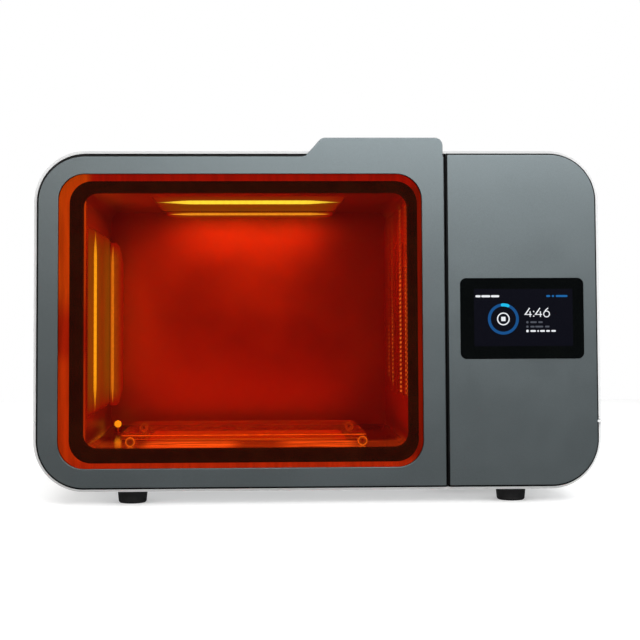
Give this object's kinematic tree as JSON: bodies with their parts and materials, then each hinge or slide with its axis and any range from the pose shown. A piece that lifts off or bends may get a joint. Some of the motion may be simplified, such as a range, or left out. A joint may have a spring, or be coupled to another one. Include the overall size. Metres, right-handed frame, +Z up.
{
  "type": "uv curing chamber",
  "caption": "Bench-top curing chamber: rounded light shell on feet, hinged door with an orange window, polished heated chamber with lamps and a tray, and a control panel with a display.",
  "frame": {"origin": "on the floor, under the centre of the bounding box", "axes": "+X to the right seen from the front, +Y from the door to the rear, +Z up"},
  "size_m": [0.537, 0.346, 0.346],
  "materials": {
    "light_shell": "satin",
    "grey_face": "satin anodised",
    "black_moulding": "fine texture",
    "orange_window": "clear tinted",
    "gasket_rubber": "matte",
    "display_glass": "gloss",
    "display_module": "matte",
    "circuit_board": "solder mask",
    "lamp_board": "white solder mask",
    "polished_steel": "mirror polished",
    "lamp_window": "clear",
    "white_moulding": "satin",
    "heat_sink": "extruded",
    "sheet_steel": "galvanised",
    "heater_metal": "heat tinted",
    "insulation": "felted fibre",
    "dark_moulding": "moulded",
    "motor_metal": "turned",
    "wire_steel": "plated wire",
    "rocker_moulding": "semi gloss",
    "hinge_steel": "brushed",
    "magnet_nickel": "nickel plated",
    "screw_steel": "zinc plated",
    "foot_rubber": "matte",
    "probe_steel": "polished",
    "clear_tray": "clear",
    "tray_silicone": "translucent"
  },
  "bodies": {
    "chassis": {"base_pan": "light_shell", "blower_housing": "dark_moulding", "blower_motor": "motor_metal", "bulkhead_screws": "screw_steel", "catch_magnets": "magnet_nickel", "ceiling_heat_sink": "heat_sink", "ceiling_lamp_board": "lamp_board", "ceiling_light_box": "white_moulding", "ceiling_window": "lamp_window", "chamber_liner": "polished_steel", "control_panel_backing": "black_moulding", "control_panel_plate": "grey_face", "cooling_fan_frame": "dark_moulding", "display_board": "circuit_board", "display_glass": "display_glass", "display_module": "display_module", "door_gasket": "gasket_rubber", "door_sensor": "dark_moulding", "fan_guard": "wire_steel", "feet": "foot_rubber", "floor_heat_sink": "heat_sink", "floor_lamp_board": "lamp_board", "floor_light_box": "white_moulding", "floor_window": "lamp_window", "foot_fasteners": "screw_steel", "front_bulkhead": "black_moulding", "heater_element": "heater_metal", "hinge_brackets": "hinge_steel", "hinge_pins": "hinge_steel", "hot_air_duct": "sheet_steel", "left_heat_sink": "heat_sink", "left_lamp_board": "lamp_board", "left_light_box": "white_moulding", "left_window": "lamp_window", "main_board": "circuit_board", "outer_cover": "light_shell", "power_inlet": "dark_moulding", "power_supply": "sheet_steel", "rear_insulation": "insulation", "rear_panel": "light_shell", "rear_screws": "screw_steel", "standoffs": "screw_steel", "support_rails": "sheet_steel", "switch_housing": "dark_moulding", "temperature_probe": "probe_steel", "thermal_cutoff": "motor_metal", "vent_grille": "polished_steel"},
    "door": {"door_plate": "grey_face", "door_frame": "black_moulding", "window_pane": "orange_window", "pane_retainer": "black_moulding", "door_hinge_straps": "hinge_steel", "door_screws": "screw_steel", "strike_plates": "hinge_steel", "sensor_magnet": "magnet_nickel"},
    "blower_rotor": {"blower_impeller": "dark_moulding"},
    "cooling_rotor": {"cooling_fan_rotor": "dark_moulding"},
    "power_rocker": {"power_rocker": "rocker_moulding"},
    "tray": {"curing_tray": "clear_tray", "tray_feet": "tray_silicone"}
  },
  "joints": [
    {"name": "door_swing", "type": "hinge", "parent": "chassis", "child": "door", "pos_m": [-0.262, -0.159, 0.173], "axis": [0, 0, -1], "range_deg": [0, 105]},
    {"name": "blower_spin", "type": "hinge", "parent": "chassis", "child": "blower_rotor", "pos_m": [0.14, -0.028, 0.18], "axis": [1, 0, 0], "continuous": true},
    {"name": "fan_spin", "type": "hinge", "parent": "chassis", "child": "cooling_rotor", "pos_m": [-0.06, 0.15, 0.17], "axis": [0, 1, 0], "continuous": true},
    {"name": "power_switch", "type": "hinge", "parent": "chassis", "child": "power_rocker", "pos_m": [0.16, 0.163, 0.045], "axis": [1, 0, 0], "range_deg": [0, 16]},
    {"name": "tray_lift", "type": "slide", "parent": "chassis", "child": "tray", "axis": [0, 0, 1], "range_m": [0, 0.06]}
  ]
}
